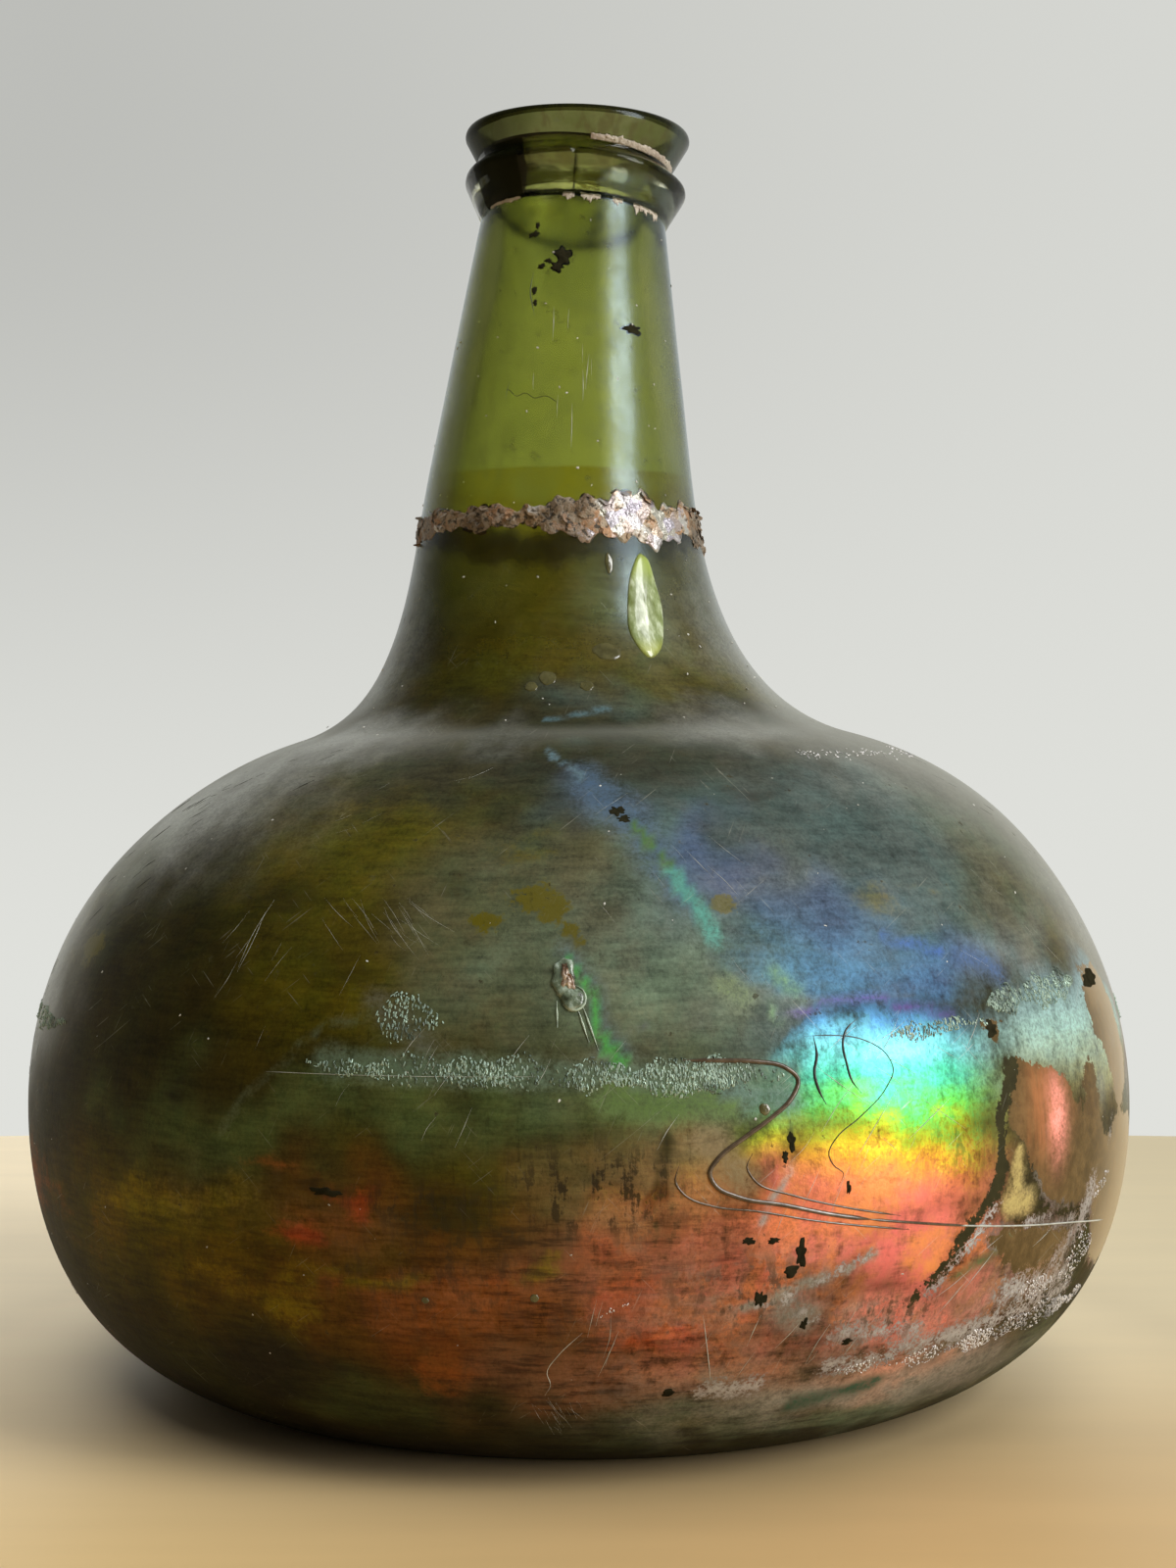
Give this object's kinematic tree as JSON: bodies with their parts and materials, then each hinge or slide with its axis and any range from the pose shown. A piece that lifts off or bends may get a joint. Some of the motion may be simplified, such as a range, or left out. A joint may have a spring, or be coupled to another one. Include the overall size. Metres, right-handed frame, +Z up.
{
  "type": "onion bottle",
  "caption": "Squat free-blown glass wine bottle with an onion-shaped body, push-up base, tapering neck, flared lip and applied string rim, weathered with iridescent film and crust.",
  "frame": {"origin": "centre of the ring that the bottle stands on, on the table plane", "axes": "+Z up along the bottle's axis, -Y to the front that the picture shows, +X to its right"},
  "size_m": [0.15, 0.15, 0.17],
  "materials": {
    "olive_glass": "dark olive glass, dulled by an iridescent weathering film",
    "rim_glass": "thicker olive glass, fire-polished",
    "brown_crust": "rough brown crust with silvery flakes",
    "lime": "matte pinkish lime",
    "frosted_crust": "sparkling grey-green crust",
    "silver_crust": "silvery grey crust",
    "batch_stone": "unmelted batch stone, glazed over"
  },
  "bodies": {
    "root": {"bottle_body": "olive_glass", "string_rim": "rim_glass", "neck_crust": "brown_crust", "rim_lime": "lime", "waist_crust": "frosted_crust", "heel_crust": "silver_crust", "shoulder_crust": "silver_crust", "pontil_scar": "rim_glass", "stone_inclusion": "batch_stone"}
  },
  "joints": []
}
